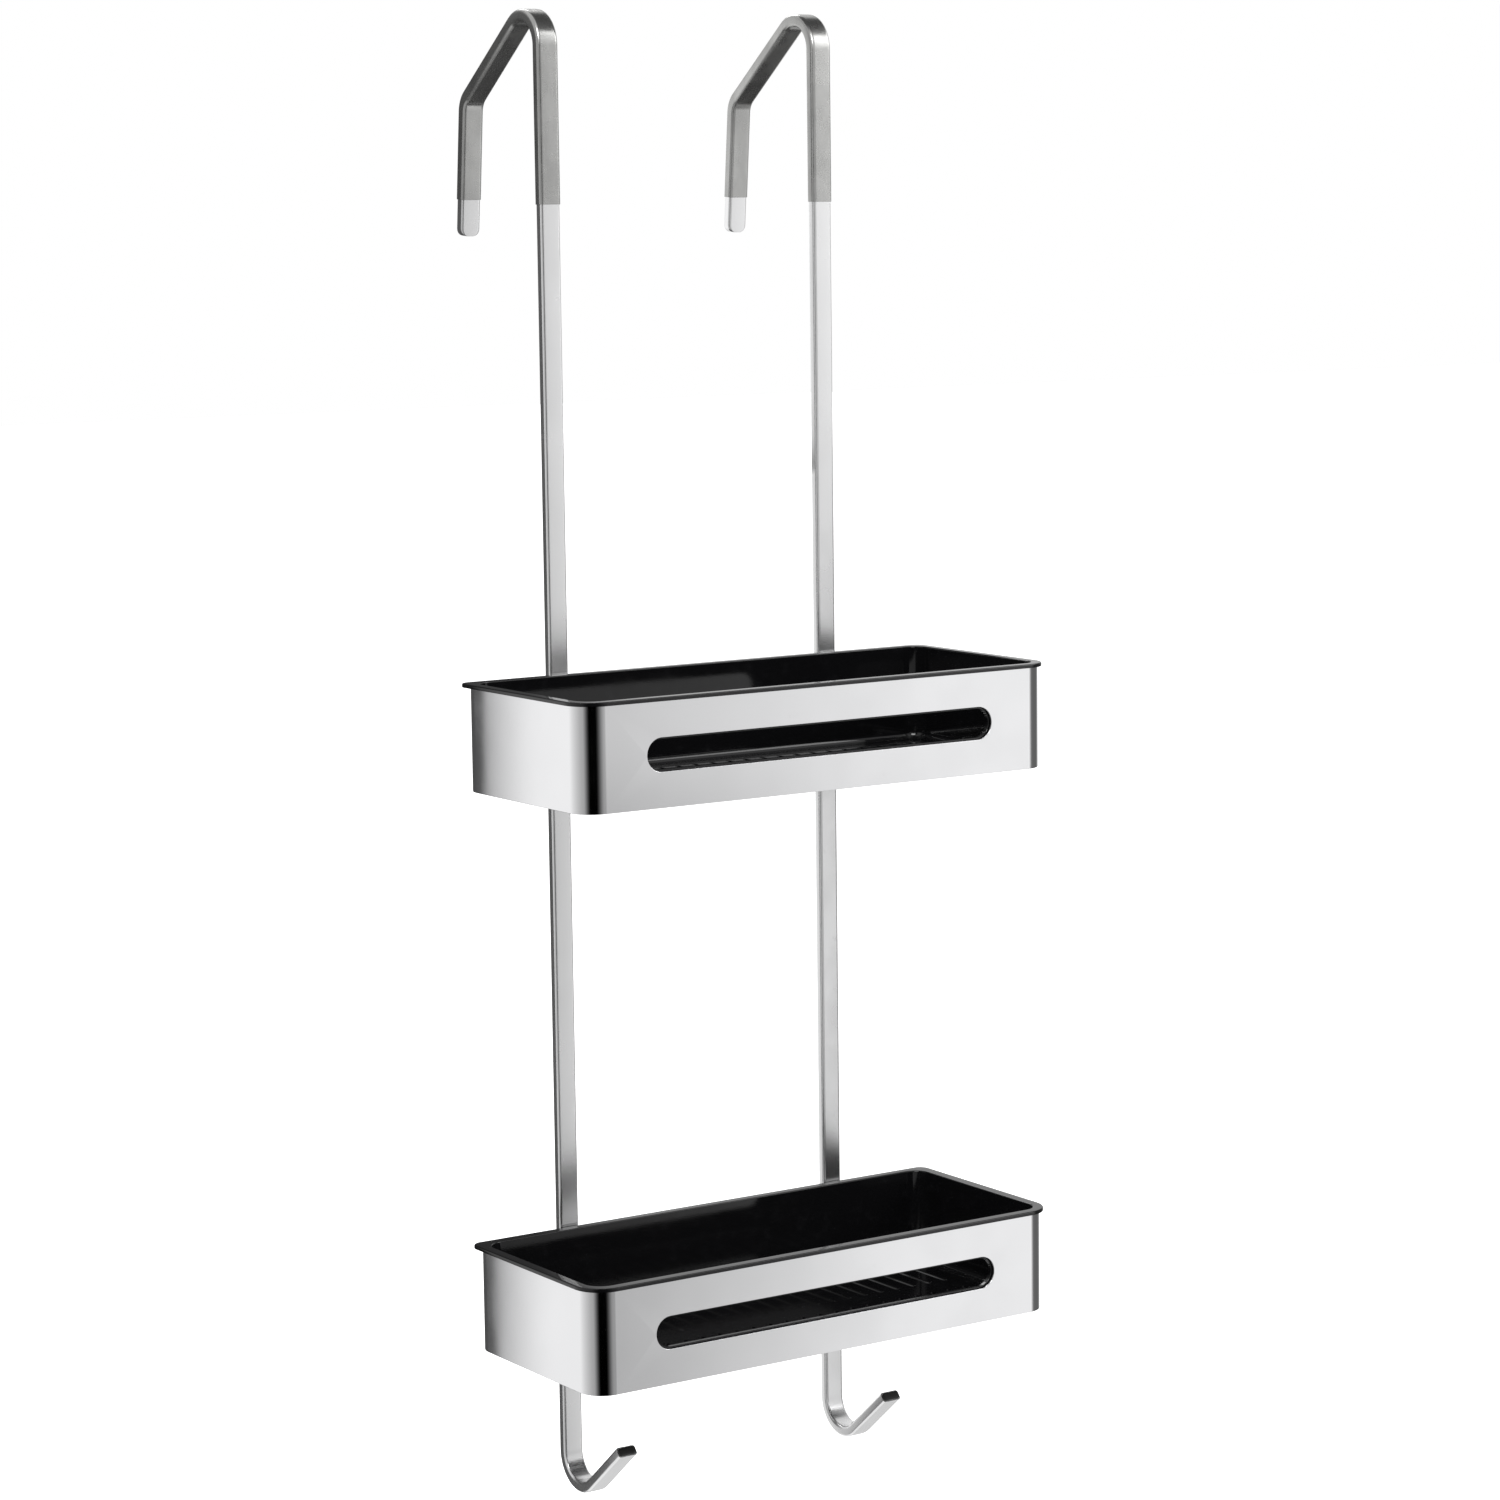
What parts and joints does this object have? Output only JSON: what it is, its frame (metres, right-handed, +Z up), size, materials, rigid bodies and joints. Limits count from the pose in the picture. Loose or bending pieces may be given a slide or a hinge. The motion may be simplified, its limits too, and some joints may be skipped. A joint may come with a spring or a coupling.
{
  "type": "over-door shower caddy",
  "caption": "Shower caddy that hangs over a door or screen: flat bars with sleeved hooks, slotted steel baskets with lift-out liners, robe hooks.",
  "frame": {"origin": "on the door's top edge: midway between the bars, level with the underside of the sleeved hooks, in the plane of the bars' back faces", "axes": "+Z up; -Y the front, where the baskets stand out; +X the right-hand side seen from the front"},
  "size_m": [0.3044, 0.2188, 0.811],
  "materials": {
    "bar_steel": "polished stainless steel flat bar with soft reflections",
    "band_steel": "polished stainless steel sheet",
    "sleeve": "satin grey soft sleeve, slightly translucent",
    "liner": "glossy black moulded plastic",
    "plug": "satin black plastic plug",
    "screw_steel": "plain stainless steel screw"
  },
  "bodies": {
    "hanger": {"left_hanger_bar": "bar_steel", "right_hanger_bar": "bar_steel", "left_hook_sleeve": "sleeve", "right_hook_sleeve": "sleeve", "left_robe_hook_plug": "plug", "right_robe_hook_plug": "plug", "upper_basket_band": "band_steel", "lower_basket_band": "band_steel", "upper_band_screws": "screw_steel", "lower_band_screws": "screw_steel"},
    "upper_liner": {"upper_basket_liner": "liner"},
    "lower_liner": {"lower_basket_liner": "liner"}
  },
  "joints": [
    {"name": "upper_liner_lift", "type": "slide", "parent": "hanger", "child": "upper_liner", "axis": [0, 0, 1], "range_m": [0, 0.065]},
    {"name": "lower_liner_lift", "type": "slide", "parent": "hanger", "child": "lower_liner", "axis": [0, 0, 1], "range_m": [0, 0.065]}
  ]
}
